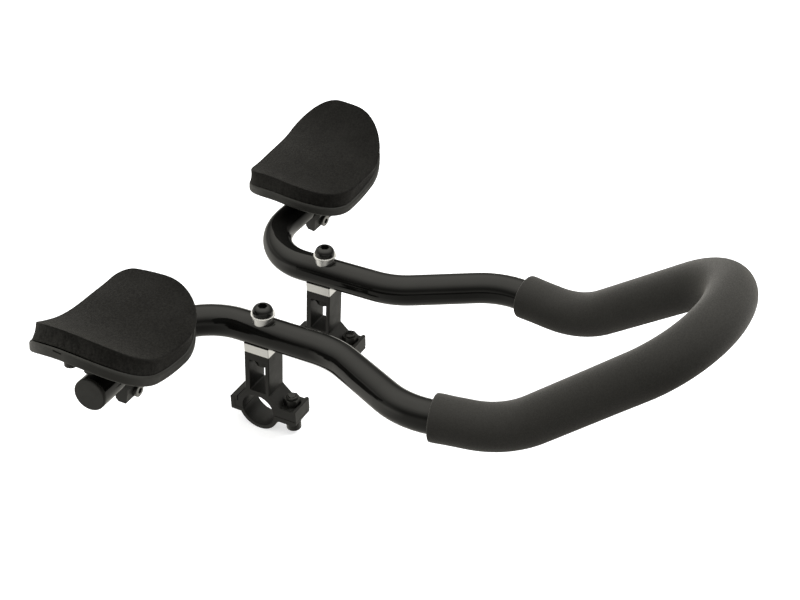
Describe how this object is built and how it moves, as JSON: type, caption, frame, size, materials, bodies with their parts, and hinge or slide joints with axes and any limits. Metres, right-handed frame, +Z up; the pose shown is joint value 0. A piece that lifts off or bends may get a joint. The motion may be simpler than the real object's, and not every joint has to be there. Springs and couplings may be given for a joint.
{
  "type": "aero handlebar extension",
  "caption": "Clip-on aero bar: a bent tube with a foam-covered front loop, riser clamps for a handlebar and tilting padded forearm rests.",
  "frame": {"origin": "on the handlebar's axis, midway between the two handlebar clamps", "axes": "+X along the handlebar to the rider's right, +Y forward to the grip loop, +Z up from the handlebar to the tube"},
  "size_m": [0.3582, 0.4082, 0.1842],
  "materials": {
    "tube_paint": "gloss black lacquer",
    "grip_foam": "matte closed-cell foam",
    "plug_plastic": "satin moulded plastic",
    "clamp_black": "gloss black over a forged alloy",
    "black_bolt": "black oxide steel",
    "bright_alloy": "bright machined alloy",
    "dark_nut": "dark lock nut",
    "cup_plastic": "satin dark grey moulding",
    "pad_foam": "fabric-faced foam",
    "hook_loop": "woven hook-and-loop tape",
    "rest_clamp_black": "satin black alloy",
    "bright_steel": "zinc-plated steel",
    "dark_screw": "dark steel"
  },
  "bodies": {
    "root": {"extension_tube": "tube_paint", "foam_grip": "grip_foam", "end_plug_right": "plug_plastic", "riser_block_right": "clamp_black", "lower_jaw_right": "clamp_black", "jaw_bolt_right": "black_bolt", "jaw_nut_right": "dark_nut", "saddle_spacer_right": "bright_alloy", "saddle_washer_right": "bright_alloy", "tube_bolt_right": "black_bolt", "tube_nut_right": "dark_nut", "end_plug_left": "plug_plastic", "riser_block_left": "clamp_black", "lower_jaw_left": "clamp_black", "jaw_bolt_left": "black_bolt", "jaw_nut_left": "dark_nut", "saddle_spacer_left": "bright_alloy", "saddle_washer_left": "bright_alloy", "tube_bolt_left": "black_bolt", "tube_nut_left": "dark_nut"},
    "armrest_right": {"armrest_cup_right": "cup_plastic", "armrest_pad_right": "pad_foam", "pad_fastener_right": "hook_loop", "armrest_clamp_right": "rest_clamp_black", "armrest_bolt_right": "bright_steel", "armrest_nut_right": "bright_steel", "cup_screw_front_right": "dark_screw", "cup_screw_rear_right": "dark_screw"},
    "armrest_left": {"armrest_cup_left": "cup_plastic", "armrest_pad_left": "pad_foam", "pad_fastener_left": "hook_loop", "armrest_clamp_left": "rest_clamp_black", "armrest_bolt_left": "bright_steel", "armrest_nut_left": "bright_steel", "cup_screw_front_left": "dark_screw", "cup_screw_rear_left": "dark_screw"}
  },
  "joints": [
    {"name": "armrest_tilt_right", "type": "hinge", "parent": "root", "child": "armrest_right", "pos_m": [0.1205, -0.0511, 0.07242], "axis": [0.9899, 0.1019, 0.0989], "range_deg": [-20, 20]},
    {"name": "armrest_tilt_left", "type": "hinge", "parent": "root", "child": "armrest_left", "pos_m": [-0.1205, -0.0511, 0.07242], "axis": [0.9899, -0.1019, -0.0989], "range_deg": [-20, 20]}
  ]
}
